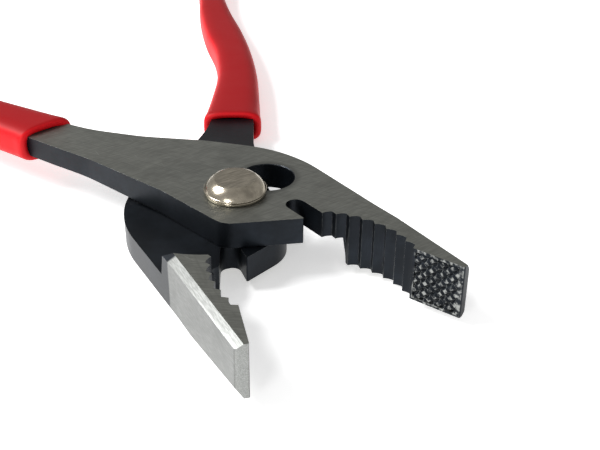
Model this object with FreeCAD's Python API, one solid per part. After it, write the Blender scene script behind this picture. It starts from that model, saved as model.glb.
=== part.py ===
import FreeCAD, Part
import math
import os

# Slip-joint pliers lying flat, jaws open, upper lever on top.  Millimetres, +Z up.
# Origin: centre of the rivet's flat tail, on the pivot axis.
#
# Each lever is drawn in its own plane (u, v): u runs along the flat of its jaw
# towards the tip, v = 0 is that flat, and the jaw's metal is on the +v side.
# u = 0 is beside the pivot axis of the closed tool.

V = FreeCAD.Vector

# ---- driving dimensions -----------------------------------------------------
jaw_thickness = 10.0        # full thickness of the jaws
plate_gap = 0.1             # running gap between the two half-thickness plates
handle_thickness = 4.1      # thickness of the handle bars

pivot_offset = 5.0          # pivot axis above the plane where the closed flats meet
slip_across = 8.0           # what the second position adds between the flats
slip_along = 1.0            # how far the second position moves the jaw tips
upper_angle = -35.5         # direction of the upper jaw's flat in the stored pose
opening_angle = 41.8        # angle between the two flats in the stored pose

jaw_tip_u = 43.3            # pivot to jaw tip
flat_start_u = 33.8         # where the knurled flat starts
tip_depth = 2.1             # depth of the jaw at its tip
tip_round = 0.9             # rounding of the tip's outer corner
shoulder_u = 21.5           # where the jaw's ground outer side starts
shoulder_v = 8.2

pipe_start_u = 15.5         # mouth end of the curved pipe grip
pipe_start_v = 0.4
pipe_sag = 2.5              # depth of the pipe grip behind the line of the flat
tooth_count = 8             # hollows along the pipe grip
tooth_depth = 0.85
tooth_lean = 0.68           # where a hollow is deepest, from its hub end to its tip end

knurl_pitch = 1.35          # spacing of the diamond knurl's grooves
knurl_depth = 0.38
knurl_margin = 0.5          # plain border round the knurl

# Wire-cutter notch: width, depth, middle of its mouth and direction in degrees.
upper_notch = (3.6, 6.4, (14.6, -1.2), 164.8)
lower_notch = (3.2, 5.0, (14.0, -3.0), 172.0)

step_radius_top = 19.4      # step from half to full thickness, at the plate's face
step_radius_root = 18.7     # and at the joint plane
bevel_across = 1.3          # ground bevel along the jaw's outer edge, on its broad face
bevel_down = 0.9            # and down its side
tip_cut_start = 27.0        # where the other edge starts to fade into the rounded tip
tip_cut_across = 1.5        # size of that cut at the end of the jaw
tip_cut_down = 2.6

shank_radius = 5.0          # rivet shank
shank_half_flat = 3.1       # half the width across its two flats
slot_clearance = 0.05       # radial clearance of the shank in the slot
slot_chamfer = 0.12         # deburred edge of the slot
hole_clearance = 0.02       # keyed hole in the lower lever

neck_radius = 3.6           # the shank where it passes the washer
tail_radius = 1.14 * shank_radius  # peened tail under the lower lever
tail_proud = 0.8
washer_radius = 1.1 * shank_radius  
washer_thickness = 0.6
washer_clearance = 0.05
head_rim_radius = 1.13 * shank_radius  # rivet head: a thin rim, then a domed cone to a flat top
head_rim_height = 0.42
head_rim_inset = 0.15
head_flank_radius = 0.996 * shank_radius  # half way up the cone
head_top_radius = 0.8 * shank_radius  
head_height = 2.15
head_crown = 0.12           # height of the soft edge round the head's top

grip_wall = 1.7             # plastic round the bar
upper_mouth = (-44.0, -47.0)      # where the plastic starts, on the jaw's side and the far side
lower_mouth = (-42.3, -42.8)
grip_end_gap = 3.0          # plastic past the bar's end
grip_round = 3.0            # rounding of the grip's long edges

# Handle centreline and half width, in the lower lever's plane.
handle_stations = [
    (-30.0, -6.9, 6.6),
    (-39.5, -10.3, 4.9),
    (-53.0, -13.4, 3.9),
    (-66.0, -16.0, 3.2),
    (-80.0, -17.3, 3.0),
    (-95.0, -17.2, 3.3),
    (-110.0, -17.2, 2.7),
    (-125.0, -18.2, 2.0),
    (-140.0, -20.0, 2.2),
    (-154.0, -22.0, 2.4),
]
station_round = 30.0        # smoothing of the handle's edges

# The two forgings differ a little behind the hub.
upper_swing = -7.2          # handle turned in towards the jaw line, degrees
lower_swing = 0.0
upper_wing_v = 9.4          # hub wing on the jaw side
lower_wing_v = 11.2
upper_throat_v = -10.4      # waist on the other side
lower_throat_v = -12.6
wing_u = -19.0
throat_u = -12.0
hub_crest = (-3.1, 15.9)    # where the hub's outer tangents meet
hub_crest_round = 24.0
upper_nose = (4.2, -12.8, 4.0)    # where the hub's front tangents meet, and its rounding
lower_nose = (7.2, -13.8, 8.0)
ramp_start_u = -8.0         # where the plate starts to thin into the handle bar
ramp_end_u = -34.0

# ---- worked out from them ----------------------------------------------------
plate = (jaw_thickness - plate_gap) / 2
mid_z = tail_proud + jaw_thickness / 2
lower_angle = upper_angle - opening_angle
vast = 300.0                # longer than any handle
closed_pivot = (0.0, pivot_offset)
slipped_pivot = (-slip_along, pivot_offset - slip_across)
slot_length = math.hypot(slip_along, slip_across)
slot_angle = math.degrees(math.atan2(slip_across, slip_along))


def turned(point, degrees):
    """The point turned about the plane's origin."""
    c = math.cos(math.radians(degrees))
    s = math.sin(math.radians(degrees))
    return (point[0] * c - point[1] * s, point[0] * s + point[1] * c)


def vec(point, z=0.0):
    return V(point[0], point[1], z)


def chain(corners):
    """Edges along open corners (u, v, radius), each rounded by its radius."""
    edges = []
    here = vec(corners[0])
    for before, corner, after in zip(corners, corners[1:], corners[2:]):
        middle = vec(corner)
        back = (vec(before) - middle).normalize()
        ahead = (vec(after) - middle).normalize()
        turn = math.pi - back.getAngle(ahead)
        reach = corner[2] * math.tan(turn / 2)
        if reach < 1e-4:
            edges.append(Part.makeLine(here, middle))
            here = middle
            continue
        first = middle + back * reach
        last = middle + ahead * reach
        inward = (back + ahead).normalize()
        sag = corner[2] * (1 / math.cos(turn / 2) - 1)
        edges.append(Part.makeLine(here, first))
        edges.append(Part.Arc(first, middle + inward * sag, last).toShape())
        here = last
    edges.append(Part.makeLine(here, vec(corners[-1])))
    return edges


def handle_sides(swing, grow=0.0, first=0):
    """The handle's two edges, grown by grow, as lists of rounded corners."""
    jaw_side = []
    far_side = []
    for u, v, half in handle_stations[first:]:
        jaw_side.append(turned((u, v + half + grow), swing) + (station_round,))
        far_side.append(turned((u, v - half - grow), swing) + (station_round,))
    return jaw_side, far_side


def tooth_edges():
    """Rounded hollows between sharp cusps, on the pipe grip's arc."""
    start = V(flat_start_u, 0, 0)
    end = V(pipe_start_u, pipe_start_v, 0)
    half_chord = start.distanceToPoint(end) / 2
    radius = (half_chord ** 2 + pipe_sag ** 2) / (2 * pipe_sag)
    along = (end - start).normalize()
    inward = V(along.y, -along.x, 0)
    centre = (start + end) * 0.5 - inward * (radius - pipe_sag)
    half_angle = math.asin(half_chord / radius)
    cusps = []
    for i in range(tooth_count + 1):
        angle = half_angle * (2 * i / tooth_count - 1)
        cusps.append(centre + along * radius * math.sin(angle) + inward * radius * math.cos(angle))
    edges = []
    for tip_side, hub_side in zip(cusps, cusps[1:]):
        outward = ((tip_side + hub_side) * 0.5 - centre).normalize()
        deep = hub_side + (tip_side - hub_side) * tooth_lean + outward * tooth_depth
        belly = (deep + hub_side) * 0.5 + outward * tooth_depth * 0.22
        edges.append(Part.makeLine(tip_side, deep))
        edges.append(Part.Arc(deep, belly, hub_side).toShape())
    return edges


def notch_corners(notch):
    """The wire-cutter notch from the pipe grip's mouth to the hub's nose."""
    width, depth, mouth, turn = notch
    along = turned((1, 0), turn)
    across = turned((1, 0), turn - 90)
    half = width / 2
    corners = []
    for reach, side in ((depth, 1), (depth, -1), (0, -1)):
        u = mouth[0] + along[0] * reach + across[0] * half * side
        v = mouth[1] + along[1] * reach + across[1] * half * side
        corners.append((u, v, half * 0.99 if reach else 0.2))
    return corners


def lever_outline(swing, wing_v, throat_v, notch, nose):
    """The forging's outline, seen square to the plates."""
    jaw_side, far_side = handle_sides(swing)
    bar_end = 1.6
    jaw_side[-1] = jaw_side[-1][:2] + (bar_end,)
    far_side[-1] = far_side[-1][:2] + (bar_end,)
    corners = [(pipe_start_u, pipe_start_v, 0)]
    corners += notch_corners(notch)
    corners.append(nose)
    corners.append((throat_u, throat_v, 20.0))
    corners += far_side
    corners += reversed(jaw_side)
    corners.append((wing_u, wing_v, 9.0))
    corners.append(hub_crest + (hub_crest_round,))
    corners.append((shoulder_u, shoulder_v, 3.0))
    corners.append((jaw_tip_u, tip_depth, tip_round))
    corners.append((jaw_tip_u, 0, 0.3))
    corners.append((flat_start_u, 0, 0))
    return Part.Wire(chain(corners) + tooth_edges())


def step_cone():
    """What is cut from a jaw's thickness over the other lever's plate."""
    low = -jaw_thickness
    rate = (step_radius_top - step_radius_root) / plate
    tall = plate_gap / 2 - low
    return Part.makeCone(step_radius_root + rate * tall, step_radius_root, tall, V(0, 0, low))


def knurl_grooves():
    """Crossing V grooves on the jaw's flat, which make the diamonds."""
    first = flat_start_u + knurl_margin
    last = jaw_tip_u - tip_round
    length = last - first
    reach = (length + jaw_thickness) * 0.75
    half = knurl_depth * 1.05
    profile = [V(-half, -0.02, 0), V(half, -0.02, 0), V(0, knurl_depth, 0), V(-half, -0.02, 0)]
    face = Part.Face(Part.makePolygon(profile))
    groove = face.extrude(V(0, 0, 2 * reach))
    groove.translate(V(0, 0, -reach))
    count = int(reach / knurl_pitch)
    grooves = []
    for lean in (45, -45):
        for i in range(-count, count + 1):
            one = groove.copy()
            one.translate(V(i * knurl_pitch, 0, 0))
            one.rotate(V(0, 0, 0), V(0, 1, 0), lean)
            one.translate(V((first + last) / 2, 0, 0))
            grooves.append(one)
    field = Part.makeBox(length, 2, jaw_thickness - 2 * knurl_margin,
                         V(first, -1, -jaw_thickness / 2 + knurl_margin))
    return Part.makeCompound([g.common(field) for g in grooves if g.common(field).Volume > 1e-4])


def outer_line(u):
    """The jaw's ground outer side at u, between the shoulder and the tip."""
    share = (u - shoulder_u) / (jaw_tip_u - shoulder_u)
    return shoulder_v + share * (tip_depth - shoulder_v)


def tapered_solid(start, end):
    """The solid between two triangles, each three points."""
    faces = [Part.Face(Part.makePolygon(list(t) + [t[0]])) for t in (start, end)]
    for i in range(3):
        j = (i + 1) % 3
        for corner in ((start[i], start[j], end[j]), (start[i], end[j], end[i])):
            faces.append(Part.Face(Part.makePolygon(list(corner) + [corner[0]])))
    solid = Part.Solid(Part.Shell(faces))
    if solid.Volume < 0:
        solid.reverse()
    return solid


def ground_bevel():
    """What the bevel takes off the jaw's outer edge, on the joint's side."""
    ends = []
    spill = 0.3
    across = bevel_across + spill * bevel_across / bevel_down
    down = bevel_down + spill * bevel_down / bevel_across
    for u in (step_radius_root - 4, jaw_tip_u + 2):
        v = outer_line(u)
        z = -jaw_thickness / 2
        ends.append((V(u, v + spill, z - spill), V(u, v - across, z - spill), V(u, v + spill, z + down)))
    return tapered_solid(*ends)


def tip_cut():
    """What rounds the plate-side edge away towards the tip."""
    ends = []
    for u, share in ((tip_cut_start, 0.02), (jaw_tip_u + 2, 1.0)):
        v = outer_line(u)
        z = jaw_thickness / 2
        spill = 0.3 * share
        across = tip_cut_across * share
        down = tip_cut_down * share
        ends.append((V(u, v + spill, z + spill), V(u, v - across, z + spill), V(u, v + spill, z - down)))
    return tapered_solid(*ends)


def bar_ramp():
    """What is taken from under the handle bar, sloping in from the plate."""
    low = plate_gap / 2 - 1
    rise = jaw_thickness / 2 - handle_thickness
    side = [V(ramp_start_u, -vast, low), V(ramp_start_u, -vast, plate_gap / 2),
            V(ramp_end_u, -vast, rise), V(-vast, -vast, rise), V(-vast, -vast, low)]
    return Part.Face(Part.makePolygon(side + [side[0]])).extrude(V(0, 2 * vast, 0))


def lever_blank(swing, wing_v, throat_v, notch, nose):
    """One forging, plate above the joint plane and jaw through both."""
    face = Part.Face(lever_outline(swing, wing_v, throat_v, notch, nose))
    full = face.extrude(V(0, 0, jaw_thickness))
    full.translate(V(0, 0, -jaw_thickness / 2))
    body = full.cut(step_cone())
    half_plane = Part.makeBox(vast, 2 * vast, jaw_thickness, V(-vast, -vast, -jaw_thickness))
    behind = half_plane.translated(V(0, 0, plate_gap / 2))
    body = body.cut([behind, bar_ramp()])
    return body.cut([ground_bevel(), tip_cut()]).cut(knurl_grooves())


def two_lobed(radius, half_neck, low, high):
    """The slot: a round lobe at each pivot position, and the neck between."""
    tall = high - low
    first = Part.makeCylinder(radius, tall, vec(slipped_pivot, low))
    second = Part.makeCylinder(radius, tall, vec(closed_pivot, low))
    neck = Part.makeBox(slot_length, 2 * half_neck, tall, V(0, -half_neck, low))
    neck.rotate(V(0, 0, 0), V(0, 0, 1), slot_angle)
    neck.translate(vec(slipped_pivot))
    return first.fuse([second, neck])


def slot_chamfer_cones():
    """The chamfer round the slot's two lobes, at the plate's face."""
    radius = shank_radius + slot_clearance
    top = jaw_thickness / 2
    cones = []
    for pivot in (slipped_pivot, closed_pivot):
        cones.append(Part.makeCone(radius, radius + slot_chamfer, slot_chamfer,
                                   vec(pivot, top - slot_chamfer)))
    return cones[0].fuse(cones[1])


def double_d(radius, half_flat, low, high):
    """A round bar with two flats, on the pivot axis, flats along the slot."""
    tall = high - low
    bar = Part.makeCylinder(radius, tall, V(0, 0, low))
    keep = Part.makeBox(4 * radius, 2 * half_flat, tall, V(-2 * radius, -half_flat, low))
    keep.rotate(V(0, 0, 0), V(0, 0, 1), slot_angle + upper_angle)
    return bar.common(keep)


def place_upper(shape):
    placed = shape.copy()
    placed.translate(V(-slipped_pivot[0], -slipped_pivot[1], 0))
    placed.rotate(V(0, 0, 0), V(0, 0, 1), upper_angle)
    placed.translate(V(0, 0, mid_z))
    return placed


def place_lower(shape):
    placed = shape.copy()
    placed.rotate(V(0, 0, 0), V(1, 0, 0), 180)
    placed.translate(V(0, -pivot_offset, 0))
    placed.rotate(V(0, 0, 0), V(0, 0, 1), lower_angle)
    placed.translate(V(0, 0, mid_z))
    return placed


def upper_lever():
    radius = shank_radius + slot_clearance
    blank = lever_blank(upper_swing, upper_wing_v, upper_throat_v, upper_notch, upper_nose)
    slot = two_lobed(radius, shank_half_flat + slot_clearance, -1, jaw_thickness)
    return place_upper(blank.cut(slot).cut(slot_chamfer_cones()))


def lower_lever():
    forging = lever_blank(lower_swing, lower_wing_v, lower_throat_v, lower_notch, lower_nose)
    blank = place_lower(forging)
    hole = double_d(shank_radius + hole_clearance, shank_half_flat + hole_clearance,
                    tail_proud - 1, mid_z)
    return blank.cut(hole)


def pivot_rivet():
    """Flat-sided shank, a round neck through the washer, peened tail and domed head."""
    plate_top = tail_proud + jaw_thickness
    foot = plate_top + washer_thickness + 2 * washer_clearance
    rim = foot + head_rim_height
    top = foot + head_height
    shank = double_d(shank_radius, shank_half_flat, tail_proud, plate_top)
    neck = Part.makeCylinder(neck_radius, foot - plate_top, V(0, 0, plate_top))
    tail = Part.makeCone(tail_radius - 0.4, tail_radius, tail_proud, V(0, 0, 0))
    edge = head_rim_radius - head_rim_inset
    flank = V(head_flank_radius, 0, (rim + top) / 2)
    crown_radius = head_top_radius - 0.3
    crown = top + head_crown
    section = Part.Wire([
        Part.makeLine(V(0, 0, foot), V(edge, 0, foot)),
        Part.Arc(V(edge, 0, foot), V(head_rim_radius, 0, (foot + rim) / 2), V(edge, 0, rim)).toShape(),
        Part.Arc(V(edge, 0, rim), flank, V(head_top_radius, 0, top)).toShape(),
        Part.makeLine(V(head_top_radius, 0, top), V(crown_radius, 0, crown)),
        Part.makeLine(V(crown_radius, 0, crown), V(0, 0, crown)),
        Part.makeLine(V(0, 0, crown), V(0, 0, foot)),
    ])
    head = Part.Face(section).revolve(V(0, 0, 0), V(0, 0, 1), 360)
    return shank.fuse([neck, tail, head]).removeSplitter()


def pivot_washer():
    """The thin washer between the head and the upper plate."""
    low = tail_proud + jaw_thickness + washer_clearance
    ring = Part.makeCylinder(washer_radius, washer_thickness, V(0, 0, low))
    rim = [e for e in ring.Edges if len(e.Vertexes) == 1]
    ring = ring.makeFillet(washer_thickness * 0.3, rim)
    bore = Part.makeCylinder(neck_radius + washer_clearance, 2 * washer_thickness, V(0, 0, low - 0.1))
    return ring.cut(bore)


def mouth_corner(mouth_u, side, swing):
    """The sleeve's corner at its mouth, on the jaw's side (1) or the far side (-1)."""
    first, second = handle_stations[1:3]
    share = (mouth_u - first[0]) / (second[0] - first[0])
    middle = first[1] + share * (second[1] - first[1])
    wide = first[2] + share * (second[2] - first[2]) + grip_wall
    return turned((mouth_u, middle + side * wide), swing) + (1.5,)


def grip_blank(swing, mouth):
    """The dipped sleeve's outside: the bar's outline grown by the wall."""
    jaw_side, far_side = handle_sides(swing, grip_wall, 2)
    last = handle_stations[-1]
    end_u = last[0] - grip_end_gap
    half = last[2] + grip_wall
    jaw_side[-1] = turned((end_u, last[1] + half), swing) + (half * 0.9,)
    far_side[-1] = turned((end_u, last[1] - half), swing) + (half * 0.9,)
    jaw_start = mouth_corner(mouth[0], 1, swing)
    far_start = mouth_corner(mouth[1], -1, swing)
    start = tuple((a + b) / 2 for a, b in zip(jaw_start[:2], far_start[:2])) + (0,)
    corners = [start, far_start] + far_side + list(reversed(jaw_side)) + [jaw_start, start]
    tall = handle_thickness + 2 * grip_wall
    low = jaw_thickness / 2 - handle_thickness - grip_wall
    body = Part.Face(Part.Wire(chain(corners))).extrude(V(0, 0, tall))
    body.translate(V(0, 0, low))
    rims = []
    for edge in body.Edges:
        level = [abs(v.Z - low) < 1e-6 or abs(v.Z - low - tall) < 1e-6 for v in edge.Vertexes]
        if all(level) and abs(edge.Vertexes[0].Z - edge.Vertexes[-1].Z) < 1e-6:
            rims.append(edge)
    return body.makeFillet(grip_round, rims)


def save(name, shape):
    shape.exportStep("parts/" + name + ".step")
    print(name, len(shape.Solids), round(shape.Volume, 1), shape.isValid())


os.makedirs("parts", exist_ok=True)
upper = upper_lever()
lower = lower_lever()
save("upper_lever", upper)
save("lower_lever", lower)
save("pivot_rivet", pivot_rivet())
save("pivot_washer", pivot_washer())
save("upper_grip", place_upper(grip_blank(upper_swing, upper_mouth)).cut(upper))
save("lower_grip", place_lower(grip_blank(lower_swing, lower_mouth)).cut(lower))
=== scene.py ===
"""Slip joint pliers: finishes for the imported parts, the dipped grips, and a studio stage."""

import math

import bmesh
import bpy
import numpy as np
from mathutils import Matrix, Vector


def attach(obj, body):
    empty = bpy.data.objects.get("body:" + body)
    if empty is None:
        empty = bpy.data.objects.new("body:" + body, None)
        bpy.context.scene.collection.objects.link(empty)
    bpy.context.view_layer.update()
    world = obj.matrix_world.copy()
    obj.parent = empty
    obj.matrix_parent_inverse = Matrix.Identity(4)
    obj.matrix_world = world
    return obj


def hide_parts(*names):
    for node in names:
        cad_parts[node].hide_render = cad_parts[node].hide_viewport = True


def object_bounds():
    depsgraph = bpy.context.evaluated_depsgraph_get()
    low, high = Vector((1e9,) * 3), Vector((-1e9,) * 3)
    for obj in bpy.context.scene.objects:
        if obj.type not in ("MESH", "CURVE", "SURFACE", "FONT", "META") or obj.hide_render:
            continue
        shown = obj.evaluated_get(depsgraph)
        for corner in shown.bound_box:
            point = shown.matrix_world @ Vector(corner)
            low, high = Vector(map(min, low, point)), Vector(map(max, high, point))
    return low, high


bl_info = {
    "name": "Slip joint pliers",
    "version": (1, 0, 0),
    "blender": (4, 5, 0),
    "location": "3D Viewport > Sidebar > Pliers",
    "description": "Builds the visual model of a pair of slip joint pliers",
    "category": "Object",
}

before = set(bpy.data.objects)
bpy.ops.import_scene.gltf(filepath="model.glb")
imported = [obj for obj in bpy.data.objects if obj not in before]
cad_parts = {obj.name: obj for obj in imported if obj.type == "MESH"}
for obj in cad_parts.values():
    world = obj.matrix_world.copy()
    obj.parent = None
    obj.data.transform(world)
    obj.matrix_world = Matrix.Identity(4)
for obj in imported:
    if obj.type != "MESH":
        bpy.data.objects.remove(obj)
CAD_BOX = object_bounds()

MM = 0.001                      # scene units are metres

# Each lever has its own plane: u along the jaw's flat to the tip, v from the flat
# into the jaw's metal, both in millimetres from beside the closed pivot axis.
PIVOT_OFFSET = 5.0
SLIP_ACROSS = 8.0
SLIP_ALONG = 1.0
UPPER_ANGLE = -35.5
OPENING_ANGLE = 41.8
MID_Z = 5.8                     # the plane where the two plates meet
KNURL_FROM = 33.9               # u where the knurled flat starts
BRIGHT_FROM = 18.9              # u where the lower jaw's fresh grinding starts
END_FROM = 37.5                 # u beyond which a forward face is the jaw's end
WELD = 2e-6                     # metres within which copied vertices join
FLAT_ANGLE = math.radians(0.6)  # triangles flatter than this merge into one face
EDGE_ANGLE = math.radians(32)   # sharper edges than this are worn round
EMPTY_HOLE = (5.46, 5.93, 10.8)  # centre of the slot's unused lobe, on the upper plate

# Along a handle: centre u, centre v and the bar's half width.
HANDLE_STATIONS = np.array([
    (-39.5, -10.3, 4.9),
    (-53.0, -13.4, 3.9),
    (-66.0, -16.0, 3.2),
    (-80.0, -17.3, 3.0),
    (-95.0, -17.2, 3.3),
    (-110.0, -17.2, 2.7),
    (-125.0, -18.2, 2.0),
    (-140.0, -20.0, 2.2),
    (-154.0, -22.0, 2.4),
])
HANDLE_TOP = 5.0                # the bar's broad face, from the joint plane
HANDLE_THICKNESS = 4.1
SQUARENESS = 3.4                # exponent of the grip's section
END_ROUND = 4.6                 # length over which the grip's end closes
HIDDEN_DEPTH = 3.0              # how far the skin runs in beneath the lip
BEAD_HEIGHT = 0.15
BEAD_BEHIND = 1.4               # from the mouth to the bead's crest
BEAD_LENGTH = 1.1
SKEW_LENGTH = 9.0               # over which the mouth's slant dies away
TIP_CLOSE = 0.01                # share of the section left at the last ring
LIP_RINGS = 15
BODY_RINGS = 170
END_RINGS = 16
RING_POINTS = 64
# Per lever: how far the handle is swung in, and where the grip's mouth lies on the
# jaw's side and on the far side.
LEVERS = {
    "upper": {"swing": -7.2, "mouth": (-44.0, -47.0)},
    "lower": {"swing": 0.0, "mouth": (-42.3, -42.8)},
}


def linear(hex_colour):
    """An sRGB hex colour as linear RGBA."""
    raw = hex_colour.lstrip("#")
    parts = [int(raw[i:i + 2], 16) / 255 for i in (0, 2, 4)]
    flat = [c / 12.92 if c <= 0.04045 else ((c + 0.055) / 1.055) ** 2.4 for c in parts]
    return (*flat, 1.0)


# ---- settings a user would change ---------------------------------------------

class PliersSizes(bpy.types.PropertyGroup):
    """Sizes of the grips and of the worn edges"""
    grip_wall: bpy.props.FloatProperty(
        name="Grip wall", description="Plastic round the handle bar",
        default=1.62 * MM, unit="LENGTH")
    grip_end: bpy.props.FloatProperty(
        name="Grip end", description="Plastic past the end of the bar",
        default=2.9 * MM, unit="LENGTH")
    lip_radius: bpy.props.FloatProperty(
        name="Grip lip", description="Rounding of the grip's mouth",
        default=0.85 * MM, unit="LENGTH")
    edge_round: bpy.props.FloatProperty(
        name="Edge round", description="Rounding of the forgings' edges",
        default=0.2 * MM, unit="LENGTH")


class PliersColours(bpy.types.PropertyGroup):
    """Colours of the finishes"""
    grip: bpy.props.FloatVectorProperty(
        name="Grip", description="Dipped plastic", subtype="COLOR", size=4,
        default=linear("#c40c16"), min=0, max=1)
    ground: bpy.props.FloatVectorProperty(
        name="Ground face", description="Satin ground faces of the plates", subtype="COLOR",
        size=4, default=linear("#7b7c76"), min=0, max=1)
    bright: bpy.props.FloatVectorProperty(
        name="Bright steel", description="Freshly ground jaw sides", subtype="COLOR", size=4,
        default=linear("#b9bbb8"), min=0, max=1)
    oxide: bpy.props.FloatVectorProperty(
        name="Black oxide", description="Blackened sides", subtype="COLOR", size=4,
        default=linear("#14181d"), min=0, max=1)
    plating: bpy.props.FloatVectorProperty(
        name="Nickel plating", description="Plated rivet and washer", subtype="COLOR", size=4,
        default=linear("#b9b09f"), min=0, max=1)


# ---- material helpers -----------------------------------------------------------

def node(tree, kind, settings=None, links=None):
    """Adds a shader node; settings name its fields or inputs, links its inputs' sources."""
    made = tree.nodes.new(kind)
    for key, value in (settings or {}).items():
        if isinstance(key, str) and hasattr(made, key):
            setattr(made, key, value)
        else:
            made.inputs[key].default_value = value
    for key, source in (links or {}).items():
        tree.links.new(source, made.inputs[key])
    return made


def new_material(name):
    """An empty node material, its tree and its shader."""
    made = bpy.data.materials.new(name)
    made.use_nodes = True
    return made, made.node_tree, made.node_tree.nodes["Principled BSDF"]


def blend_colours(tree, factor, first, second):
    """A colour mix; each end is a colour or a socket."""
    mix = node(tree, "ShaderNodeMix", {"data_type": "RGBA"}, {0: factor})
    for index, end in ((6, first), (7, second)):
        if isinstance(end, bpy.types.NodeSocket):
            tree.links.new(end, mix.inputs[index])
        else:
            mix.inputs[index].default_value = end
    return mix.outputs[2]


def blend_values(tree, factor, first, second):
    """A number mix; each end is a number or a socket."""
    mix = node(tree, "ShaderNodeMix", {"data_type": "FLOAT"}, {0: factor})
    for index, end in ((2, first), (3, second)):
        if isinstance(end, bpy.types.NodeSocket):
            tree.links.new(end, mix.inputs[index])
        else:
            mix.inputs[index].default_value = end
    return mix.outputs[0]


def per_mm(size):
    """A texture scale whose features are about size millimetres across."""
    return 1.0 / (size * MM)


# ---- shapes ---------------------------------------------------------------------

def turned(points, degrees):
    """Points (n, 2) turned about the plane's origin."""
    c = math.cos(math.radians(degrees))
    s = math.sin(math.radians(degrees))
    return points @ np.array([[c, s], [-s, c]])


def to_frame(points, lever):
    """Points (n, 3) of a lever's plane, z from the joint plane, as scene metres.

    The upper lever is shifted so that its slipped pivot lies on the axis and turned by
    its jaw's angle; the lower one is first turned over about its u axis."""
    out = points.copy()
    if lever == "upper":
        out[:, 0] += SLIP_ALONG
        out[:, 1] += SLIP_ACROSS - PIVOT_OFFSET
        angle = UPPER_ANGLE
    else:
        out[:, 1] = -out[:, 1] - PIVOT_OFFSET
        out[:, 2] = -out[:, 2]
        angle = UPPER_ANGLE - OPENING_ANGLE
    out[:, :2] = turned(out[:, :2], angle)
    out[:, 2] += MID_Z
    return out * MM


def smooth_through(values, knots, at):
    """Cubic Hermite curve through values at knots, with central-difference slopes."""
    slopes = np.gradient(values, knots)
    i = np.clip(np.searchsorted(knots, at) - 1, 0, len(knots) - 2)
    width = knots[i + 1] - knots[i]
    t = (at - knots[i]) / width
    return ((2 * t**3 - 3 * t**2 + 1) * values[i] + (t**3 - 2 * t**2 + t) * width * slopes[i]
            + (3 * t**2 - 2 * t**3) * values[i + 1] + (t**3 - t**2) * width * slopes[i + 1])


def closed_mesh(name, rings):
    """A mesh over rings (m, n, 3) that close round on themselves, each end a fan."""
    count, around, _ = rings.shape
    index = np.arange(count * around).reshape(count, around)
    nearer = index[:-1]
    further = index[1:]
    quads = np.stack([nearer, np.roll(nearer, -1, axis=1), np.roll(further, -1, axis=1), further],
                     axis=-1).reshape(-1, 4).tolist()
    centres = rings[[0, -1]].mean(axis=1)
    vertices = np.concatenate([rings.reshape(-1, 3), centres])
    first_row = index[0]
    last_row = index[-1]
    start = np.stack([np.roll(first_row, -1), first_row, np.full(around, count * around)], axis=-1)
    end = np.stack([last_row, np.roll(last_row, -1), np.full(around, count * around + 1)], axis=-1)
    mesh = bpy.data.meshes.new(name)
    mesh.from_pydata(vertices.tolist(), [], quads + start.tolist() + end.tolist())
    mesh.polygons.foreach_set("use_smooth", [True] * len(mesh.polygons))
    return mesh


def add_object(context, name, mesh):
    made = bpy.data.objects.new(name, mesh)
    context.collection.objects.link(made)
    return made


def outward(mesh):
    """Points every face outwards."""
    work = bmesh.new()
    work.from_mesh(mesh)
    bmesh.ops.recalc_face_normals(work, faces=work.faces)
    work.to_mesh(mesh)
    work.free()


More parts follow.
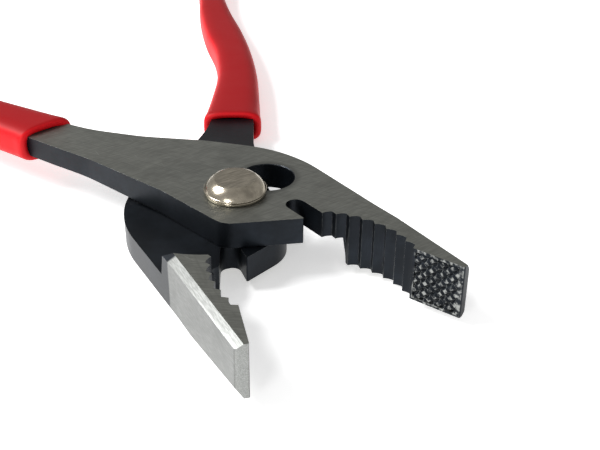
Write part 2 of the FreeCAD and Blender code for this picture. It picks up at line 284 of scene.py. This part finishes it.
def grip_surface(lever, sizes):
    """The dipped sleeve as one closed skin.

    Rings run from inside the mouth, round the rolled lip, along the handle and over the
    end. Each ring is a superellipse |a|^p + |b|^p = 1 across the handle's centreline, its
    half width the bar's plus the wall. The lip is half an ellipse from the bar out to the
    sleeve, and the end closes as an ellipse over the last END_ROUND millimetres."""
    facts = LEVERS[lever]
    wall = sizes.grip_wall / MM
    lip = sizes.lip_radius / MM
    knots = -HANDLE_STATIONS[:, 0]
    last = knots[-1] + sizes.grip_end / MM
    mouth = -np.array(facts["mouth"])
    first = mouth.mean()

    roll = np.linspace(0, math.pi, LIP_RINGS)
    finish = np.linspace(0, math.pi / 2, END_RINGS)[1:]
    straight = np.linspace(first + lip, last - END_ROUND, BODY_RINGS)[1:]
    along = np.concatenate([[first + lip + HIDDEN_DEPTH], first + lip - lip * np.sin(roll), straight,
                            last - END_ROUND * (1 - np.sin(finish))])
    stand = np.full(len(along), wall)
    stand[0] = 0.0
    stand[1:1 + len(roll)] = wall * (1 - np.cos(roll)) / 2
    close = np.ones(len(along))
    close[-len(finish):] = np.maximum(np.cos(finish), TIP_CLOSE)

    inside = np.clip(along, knots[0], knots[-1])
    middle = smooth_through(HANDLE_STATIONS[:, 1], knots, inside)
    end_slope = (HANDLE_STATIONS[-1, 1] - HANDLE_STATIONS[-2, 1]) / (knots[-1] - knots[-2])
    middle += (along - inside) * end_slope
    ahead = smooth_through(HANDLE_STATIONS[:, 1], knots, np.clip(inside + 1.0, None, knots[-1]))
    behind = smooth_through(HANDLE_STATIONS[:, 1], knots, np.clip(inside - 1.0, knots[0], None))
    lean = -np.arctan((ahead - behind) / 2.0)
    half = smooth_through(HANDLE_STATIONS[:, 2], knots, inside) + stand
    # A slight bead stands just behind the lip.
    bead = BEAD_HEIGHT * np.exp(-((along - first - BEAD_BEHIND) / BEAD_LENGTH) ** 2) * (stand > wall * 0.6)
    half_v = (half + bead) * close
    half_z = (HANDLE_THICKNESS / 2 + stand) * close

    angle = np.linspace(0, 2 * math.pi, RING_POINTS, endpoint=False)
    across = np.sign(np.cos(angle)) * np.abs(np.cos(angle)) ** (2 / SQUARENESS)
    upward = np.sign(np.sin(angle)) * np.abs(np.sin(angle)) ** (2 / SQUARENESS)
    # The mouth is cut askew, and the skew dies away along the handle.
    skew = (mouth[0] - mouth[1]) / 2 * np.exp(-np.clip(along - first, 0, None) / SKEW_LENGTH)
    sideways = half_v[:, None] * across
    u = -along[:, None] - np.sin(lean)[:, None] * sideways - skew[:, None] * across
    v = middle[:, None] + np.cos(lean)[:, None] * sideways
    z = HANDLE_TOP - HANDLE_THICKNESS / 2 + upward * half_z[:, None]
    flat = np.stack([u, v, z], axis=-1).reshape(-1, 3)
    flat[:, :2] = turned(flat[:, :2], facts["swing"])
    return to_frame(flat, lever).reshape(len(along), len(angle), 3)


# ---- operators -------------------------------------------------------------------

class PLIERS_OT_grips(bpy.types.Operator):
    """The two dipped plastic grips"""
    bl_idname = "pliers.grips"
    bl_label = "Grips"

    def execute(self, context):
        sizes = context.scene.pliers_sizes
        finish = dipped_pvc(context.scene.pliers_colours)
        for lever in LEVERS:
            mesh = closed_mesh(lever + "_grip_skin", grip_surface(lever, sizes))
            outward(mesh)
            piece = add_object(context, lever + "_grip_skin", mesh)
            mesh.materials.append(finish)
            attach(piece, lever)
            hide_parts(lever + "_grip")
        return {"FINISHED"}


class PLIERS_OT_levers(bpy.types.Operator):
    """The two forgings, with rounded edges painted bright, partly as wear and partly as a painted highlight,
    and ground, blackened and knurled faces
    """
    bl_idname = "pliers.levers"
    bl_label = "Levers"

    def execute(self, context):
        sizes = context.scene.pliers_sizes
        colours = context.scene.pliers_colours
        for lever in LEVERS:
            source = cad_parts[lever + "_lever"]
            mesh = source.data.copy()
            mesh.name = lever + "_forging"
            merge_copy(mesh)
            piece = add_object(context, lever + "_forging", mesh)
            mesh.materials.clear()
            mesh.materials.append(forged_steel(lever, colours, False))
            mesh.materials.append(forged_steel(lever, colours, True))
            bevel = piece.modifiers.new("rounded_edges", "BEVEL")
            bevel.width = sizes.edge_round
            bevel.segments = 2
            bevel.limit_method = "ANGLE"
            bevel.angle_limit = EDGE_ANGLE
            bevel.harden_normals = True
            bevel.use_clamp_overlap = True
            # The bevel's strips take the second material: bright steel that is partly wear and partly a
            # painted highlight.
            bevel.material = 1
            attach(piece, lever)
            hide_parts(lever + "_lever")
        return {"FINISHED"}


def merge_copy(mesh):
    """Welds a copied CAD mesh and dissolves the flat faces' triangles."""
    work = bmesh.new()
    work.from_mesh(mesh)
    bmesh.ops.remove_doubles(work, verts=work.verts, dist=WELD)
    bmesh.ops.dissolve_limit(work, angle_limit=FLAT_ANGLE, use_dissolve_boundaries=False,
                             verts=work.verts, edges=work.edges)
    for face in work.faces:
        face.smooth = True
    work.to_mesh(mesh)
    work.free()
    mesh.set_sharp_from_angle(angle=EDGE_ANGLE)


class PLIERS_OT_pivot(bpy.types.Operator):
    """The plated rivet and its washer"""
    bl_idname = "pliers.pivot"
    bl_label = "Pivot"

    def execute(self, context):
        finish = nickel_plate(context.scene.pliers_colours)
        for name in ("pivot_rivet", "pivot_washer"):
            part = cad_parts[name]
            part.data.materials.clear()
            part.data.materials.append(finish)
        return {"FINISHED"}


# ---- finishes ---------------------------------------------------------------------

def shade(colour, factor):
    """A colour made darker or lighter by factor."""
    return tuple(min(c * factor, 1.0) for c in tuple(colour)[:3]) + (1.0,)


def step(tree, source, low, high):
    """0 at low, 1 at high, smooth between; low may be the larger."""
    made = node(tree, "ShaderNodeMapRange",
                {"interpolation_type": "SMOOTHSTEP", "From Min": low, "From Max": high}, {"Value": source})
    return made.outputs["Result"]


def maths(tree, operation, first, second):
    """A maths node; second is a number or a socket."""
    made = node(tree, "ShaderNodeMath", {"operation": operation}, {0: first})
    if isinstance(second, bpy.types.NodeSocket):
        tree.links.new(second, made.inputs[1])
    else:
        made.inputs[1].default_value = second
    return made.outputs["Value"]


def along_axis(tree, source, axis):
    """How far a vector reaches along axis."""
    made = node(tree, "ShaderNodeVectorMath", {"operation": "DOT_PRODUCT"}, {0: source})
    made.inputs[1].default_value = axis
    return made.outputs["Value"]


def streaks(tree, where, degrees, size, stretch, detail=3.0):
    """Noise about size millimetres across, drawn out stretch times along degrees."""
    lined_up = node(tree, "ShaderNodeMapping", {"Rotation": (0, 0, -math.radians(degrees))}, {"Vector": where})
    drawn = node(tree, "ShaderNodeMapping", {"Scale": (1 / stretch, 1, 1)},
                 {"Vector": lined_up.outputs["Vector"]})
    made = node(tree, "ShaderNodeTexNoise", {"Scale": per_mm(size), "Detail": detail},
                {"Vector": drawn.outputs["Vector"]})
    return made.outputs["Fac"]


def dipped_pvc(colours):
    """Dipped plasticised PVC: a soft satin gloss with a faint orange peel and long drawn
    waves left as the dip ran off, so the highlight breaks up along the handle."""
    made, tree, shader = new_material("dipped_pvc")
    where = node(tree, "ShaderNodeTexCoord").outputs["Object"]
    cloud = node(tree, "ShaderNodeTexNoise", {"Scale": per_mm(11), "Detail": 4.0}, {"Vector": where})
    faces = node(tree, "ShaderNodeTexCoord").outputs["Normal"]
    # Painted shade: the broad faces are darker than the rounded sides.
    broad = step(tree, maths(tree, "ABSOLUTE", along_axis(tree, faces, (0, 0, 1)), 0.0), 0.55, 0.98)
    colour = blend_colours(tree, step(tree, cloud.outputs["Fac"], 0.40, 0.70),
                           tuple(colours.grip), shade(colours.grip, 0.78))
    colour = blend_colours(tree, broad, colour, shade(colours.grip, 0.50))
    tree.links.new(colour, shader.inputs["Base Color"])
    peel = node(tree, "ShaderNodeTexNoise", {"Scale": per_mm(0.8), "Detail": 2.0}, {"Vector": where})
    fine = node(tree, "ShaderNodeBump", {"Strength": 0.14, "Distance": 0.05 * MM},
                {"Height": peel.outputs["Fac"]})
    wave = node(tree, "ShaderNodeTexNoise", {"Scale": per_mm(5), "Detail": 1.0}, {"Vector": where})
    soft = node(tree, "ShaderNodeBump", {"Strength": 0.3, "Distance": 0.15 * MM},
                {"Height": wave.outputs["Fac"], "Normal": fine.outputs["Normal"]})
    tree.links.new(soft.outputs["Normal"], shader.inputs["Normal"])
    rough = node(tree, "ShaderNodeMapRange", {"To Min": 0.42, "To Max": 0.58},
                 {"Value": cloud.outputs["Fac"]})
    tree.links.new(rough.outputs["Result"], shader.inputs["Roughness"])
    shader.inputs["IOR"].default_value = 1.50
    shader.inputs["Specular IOR Level"].default_value = 0.16
    return made


def forged_steel(lever, colours, edge_strip):
    """Drop-forged carbon steel, blackened all over and then ground on its broad faces.

    The eye reads satin grey plate with fine crossed grinding lines, deep blue-black sides,
    and, on the lower jaw, a freshly ground outer side and end, with a painted highlight on
    its bevel and end. The knurl's points and the rim of the empty pivot hole show rubbing.
    The last argument is 1 on the rounded edges, which are painted bright: partly wear, where
    the black has gone, and partly a painted highlight."""
    made, tree, shader = new_material("forged_steel_" + lever + ("_edges" if edge_strip else ""))
    coordinates = node(tree, "ShaderNodeTexCoord")
    where = coordinates.outputs["Object"]
    faces = coordinates.outputs["Normal"]
    upper = lever == "upper"
    jaw_degrees = UPPER_ANGLE if upper else UPPER_ANGLE - OPENING_ANGLE
    c = math.cos(math.radians(jaw_degrees))
    s = math.sin(math.radians(jaw_degrees))
    outward_axis = (-s, c, 0) if upper else (s, -c, 0)
    flat_at = SLIP_ACROSS - PIVOT_OFFSET if upper else PIVOT_OFFSET
    u = maths(tree, "SUBTRACT", along_axis(tree, where, (c / MM, s / MM, 0)), SLIP_ALONG if upper else 0.0)
    v = maths(tree, "SUBTRACT", along_axis(tree, where, tuple(x / MM for x in outward_axis)), flat_at)
    height = along_axis(tree, where, (0, 0, 1 / MM))

    # Ground broad faces lie at the two outsides of the plate stack.
    steep = step(tree, maths(tree, "ABSOLUTE", along_axis(tree, faces, (0, 0, 1)), 0.0), 0.86, 0.97)
    off_middle = maths(tree, "ABSOLUTE", maths(tree, "SUBTRACT", height, MID_Z), 0.0)
    broad = maths(tree, "MULTIPLY", steep, step(tree, off_middle, 4.2, 4.8))

    fine = streaks(tree, where, jaw_degrees + 72, 0.16, 14)
    coarse = streaks(tree, where, jaw_degrees + 8, 0.5, 9)
    cloud = node(tree, "ShaderNodeTexNoise", {"Scale": per_mm(8), "Detail": 6.0, "Roughness": 0.62},
                 {"Vector": where}).outputs["Fac"]
    nick = streaks(tree, where, jaw_degrees + 40, 0.35, 16, 1.0)
    cross_nick = streaks(tree, where, jaw_degrees - 24, 0.3, 20, 1.0)

    ground = blend_colours(tree, step(tree, fine, 0.30, 0.72), shade(colours.ground, 0.80),
                           shade(colours.ground, 1.12))
    ground = blend_colours(tree, maths(tree, "MULTIPLY", step(tree, coarse, 0.45, 0.70), 0.35), ground,
                           shade(colours.ground, 0.62))
    ground = blend_colours(tree, maths(tree, "MULTIPLY", step(tree, cloud, 0.42, 0.70), 0.5), ground,
                           shade(colours.ground, 0.60))
    marks = maths(tree, "ADD", step(tree, nick, 0.73, 0.79), step(tree, cross_nick, 0.73, 0.79))
    ground = blend_colours(tree, maths(tree, "MULTIPLY", marks, 0.22), ground, tuple(colours.bright))
    if upper:
        # Grime rings the empty pivot hole where the rivet's head has rubbed.
        from_hole = node(tree, "ShaderNodeVectorMath", {"operation": "DISTANCE"}, {0: where})
        from_hole.inputs[1].default_value = tuple(x * MM for x in EMPTY_HOLE)
        radius = maths(tree, "DIVIDE", from_hole.outputs["Value"], MM)
        grime = maths(tree, "MULTIPLY", step(tree, radius, 6.6, 5.2), 0.55)
        ground = blend_colours(tree, grime, ground, shade(colours.ground, 0.30))

    oxide = blend_colours(tree, step(tree, cloud, 0.42, 0.72), tuple(colours.oxide),
                          shade(colours.oxide, 1.9))
    # The knurl's points, at the flat's own level, are rubbed bright.
    speck = node(tree, "ShaderNodeTexNoise", {"Scale": per_mm(0.7), "Detail": 2.0},
                 {"Vector": where}).outputs["Fac"]
    point = maths(tree, "MULTIPLY", step(tree, v, 0.07, 0.0), step(tree, u, KNURL_FROM, KNURL_FROM + 0.5))
    point = maths(tree, "MULTIPLY", point, step(tree, speck, 0.42, 0.66))
    oxide = blend_colours(tree, point, oxide, shade(colours.bright, 0.55))
    colour = blend_colours(tree, broad, oxide, ground)
    metal = blend_values(tree, broad, 0.80, 0.92)
    gloss = blend_values(tree, broad, 0.40, 0.46)

    if not upper:
        # The outer side and the end of this jaw were ground last, and left bright.
        side = step(tree, along_axis(tree, faces, outward_axis), 0.30, 0.50)
        side = maths(tree, "MULTIPLY", side, step(tree, maths(tree, "ADD", u, maths(
            tree, "MULTIPLY", cloud, 1.0)), BRIGHT_FROM, BRIGHT_FROM + 0.6))
        end = step(tree, along_axis(tree, faces, (c, s, 0)), 0.55, 0.75)
        end = maths(tree, "MULTIPLY", end, step(tree, u, END_FROM, END_FROM + 1.0))
        fresh = maths(tree, "MAXIMUM", side, end)
        cut = streaks(tree, where, jaw_degrees + 14, 0.16, 10)
        bare = blend_colours(tree, step(tree, cut, 0.30, 0.70), shade(colours.bright, 0.32),
                             shade(colours.bright, 0.46))
        bare = blend_colours(tree, maths(tree, "MULTIPLY", step(tree, cloud, 0.40, 0.68), 0.5), bare,
                             shade(colours.bright, 0.28))
        # Painted highlight: the bevel, whose faces tilt up towards the lights, and the end get a brighter copy
        # of the ground steel.
        bevel = step(tree, along_axis(tree, faces, (0, 0, 1)), 0.35, 0.60)
        painted_highlight = blend_colours(tree, step(tree, cut, 0.30, 0.70), shade(colours.bright, 0.40),
                                shade(colours.bright, 0.60))
        bare = blend_colours(tree, maths(tree, "MAXIMUM", bevel, end), bare, painted_highlight)
        colour = blend_colours(tree, fresh, colour, bare)
        metal = blend_values(tree, fresh, metal, 0.95)
        gloss = blend_values(tree, fresh, gloss, 0.42)
    if edge_strip:
        # Painted highlight together with wear: the rounded edges are speckled with bright steel.
        edge_wear_and_highlight = maths(tree, "MULTIPLY", step(tree, speck, 0.34, 0.60), 0.85)
        colour = blend_colours(tree, edge_wear_and_highlight, colour, shade(colours.bright, 0.60))
    tree.links.new(colour, shader.inputs["Base Color"])
    tree.links.new(metal, shader.inputs["Metallic"])
    ripple = node(tree, "ShaderNodeMapRange", {"To Min": -0.06, "To Max": 0.08}, {"Value": fine})
    tree.links.new(maths(tree, "ADD", ripple.outputs["Result"], gloss), shader.inputs["Roughness"])
    scale = node(tree, "ShaderNodeTexNoise", {"Scale": per_mm(1.1), "Detail": 3.0},
                 {"Vector": where}).outputs["Fac"]
    relief = blend_values(tree, broad, scale, fine)
    grain = node(tree, "ShaderNodeBump", {"Strength": 0.18, "Distance": 0.03 * MM}, {"Height": relief})
    tree.links.new(grain.outputs["Normal"], shader.inputs["Normal"])
    return made


def nickel_plate(colours):
    """Nickel-plated steel, tumbled: a warm mirror dulled by fine scratches, with the
    brushed crown rougher than the flank and a tarnish that gathers in patches."""
    made, tree, shader = new_material("nickel_plate")
    coordinates = node(tree, "ShaderNodeTexCoord")
    where = coordinates.outputs["Object"]
    crown = step(tree, along_axis(tree, coordinates.outputs["Normal"], (0, 0, 1)), 0.93, 0.99)
    marks = streaks(tree, where, 35, 0.22, 9, 4.0)
    cross = streaks(tree, where, -50, 0.25, 12, 2.0)
    cloud = node(tree, "ShaderNodeTexNoise", {"Scale": per_mm(2.6), "Detail": 5.0},
                 {"Vector": where}).outputs["Fac"]
    plain = blend_colours(tree, step(tree, cloud, 0.42, 0.70), tuple(colours.plating),
                          shade(colours.plating, 0.62))
    brushed = blend_colours(tree, step(tree, marks, 0.35, 0.70), shade(colours.plating, 0.52),
                            shade(colours.plating, 0.86))
    colour = blend_colours(tree, crown, plain, brushed)
    colour = blend_colours(tree, maths(tree, "MULTIPLY", step(tree, cross, 0.66, 0.72), 0.5), colour,
                           shade(colours.plating, 0.35))
    tree.links.new(colour, shader.inputs["Base Color"])
    shader.inputs["Metallic"].default_value = 1.0
    polish = node(tree, "ShaderNodeMapRange", {"To Min": 0.14, "To Max": 0.26}, {"Value": marks})
    tree.links.new(maths(tree, "ADD", maths(tree, "MULTIPLY", crown, 0.18), polish.outputs["Result"]),
                   shader.inputs["Roughness"])
    bump = node(tree, "ShaderNodeBump", {"Strength": 0.12, "Distance": 0.02 * MM}, {"Height": marks})
    tree.links.new(bump.outputs["Normal"], shader.inputs["Normal"])
    return made


# ---- stage ---------------------------------------------------------------------

FLOOR_REACH = 3.0
FLOOR_DROP = 0.0001             # beneath the lowest point, so that nothing shares its plane
FLOOR_GLOW = 0.45
SKY_STRENGTH = 0.45
# Name, place in metres, side in metres and power in watts.
LAMPS = (
    ("key_softbox", (-0.42, 0.02, 0.42), 0.26, 4.2),
    ("front_softbox", (-0.22, -0.50, 0.16), 0.16, 1.6),
)
LENS = 60.0                     # millimetres, on a sensor 36 mm wide
SENSOR = 36.0
CAMERA_PLACE = (11.58, -155.16, 98.28)  # millimetres
CAMERA_DOWN = 31.24             # degrees below level
CAMERA_ROLL = 0.71


class PLIERS_OT_stage(bpy.types.Operator):
    """Pale floor, soft lights and the camera"""
    bl_idname = "pliers.stage"
    bl_label = "Stage"

    def execute(self, context):
        z = CAD_BOX[0][2] - FLOOR_DROP
        corners = [(-FLOOR_REACH, -FLOOR_REACH, z), (FLOOR_REACH, -FLOOR_REACH, z),
                   (FLOOR_REACH, FLOOR_REACH, z), (-FLOOR_REACH, FLOOR_REACH, z)]
        mesh = bpy.data.meshes.new("floor")
        mesh.from_pydata(corners, [], [(0, 1, 2, 3)])
        floor = add_object(context, "floor", mesh)
        made, tree, shader = new_material("white_card")
        shader.inputs["Base Color"].default_value = linear("#ffffff")
        shader.inputs["Roughness"].default_value = 0.95
        shader.inputs["Specular IOR Level"].default_value = 0.1
        shader.inputs["Emission Color"].default_value = linear("#ffffff")
        shader.inputs["Emission Strength"].default_value = FLOOR_GLOW
        mesh.materials.append(made)
        world = bpy.data.worlds.new("studio")
        world.use_nodes = True
        sky = world.node_tree.nodes["Background"]
        sky.inputs["Color"].default_value = (1, 1, 1, 1)
        sky.inputs["Strength"].default_value = SKY_STRENGTH
        context.scene.world = world
        context.scene.view_settings.view_transform = "Standard"
        for lamp in LAMPS:
            add_light(context, *lamp)
        add_camera(context)
        return {"FINISHED"}


def add_light(context, name, place, size, power):
    """A square softbox at place, aimed at the pivot."""
    data = bpy.data.lights.new(name, "AREA")
    data.shape = "SQUARE"
    data.size = size
    data.energy = power
    lamp = bpy.data.objects.new(name, data)
    lamp.location = place
    lamp.rotation_euler = (-Vector(place)).to_track_quat("-Z", "Y").to_euler()
    context.collection.objects.link(lamp)


def add_camera(context):
    """A 60 mm lens low in front of the jaws."""
    data = bpy.data.cameras.new("camera")
    data.lens = LENS
    data.sensor_width = SENSOR
    data.clip_start = 0.01
    camera = bpy.data.objects.new("camera", data)
    down = math.radians(CAMERA_DOWN)
    roll = math.radians(CAMERA_ROLL)
    turn = Matrix.Rotation(math.pi / 2 - down, 4, "X") @ Matrix.Rotation(roll, 4, "Z")
    camera.matrix_world = Matrix.Translation(Vector(CAMERA_PLACE) * MM) @ turn
    context.collection.objects.link(camera)
    context.scene.camera = camera


class PLIERS_PT_panel(bpy.types.Panel):
    """The steps in the 3D view's sidebar"""
    bl_idname = "PLIERS_PT_panel"
    bl_label = "Slip joint pliers"
    bl_space_type = "VIEW_3D"
    bl_region_type = "UI"
    bl_category = "Pliers"

    def draw(self, context):
        for step in STEPS:
            self.layout.operator(step.bl_idname)
        for group in (context.scene.pliers_sizes, context.scene.pliers_colours):
            for name in group.__annotations__:
                self.layout.prop(group, name)


STEPS = (PLIERS_OT_levers, PLIERS_OT_pivot, PLIERS_OT_grips, PLIERS_OT_stage)
CLASSES = (PliersSizes, PliersColours) + STEPS + (PLIERS_PT_panel,)


def register():
    for cls in CLASSES:
        bpy.utils.register_class(cls)
    bpy.types.Scene.pliers_sizes = bpy.props.PointerProperty(type=PliersSizes)
    bpy.types.Scene.pliers_colours = bpy.props.PointerProperty(type=PliersColours)


def unregister():
    del bpy.types.Scene.pliers_colours
    del bpy.types.Scene.pliers_sizes
    for cls in reversed(CLASSES):
        bpy.utils.unregister_class(cls)


def main():
    register()
    bpy.ops.pliers.levers()
    bpy.ops.pliers.pivot()
    bpy.ops.pliers.grips()
    bpy.ops.pliers.stage()


if __name__ == "__main__":
    main()
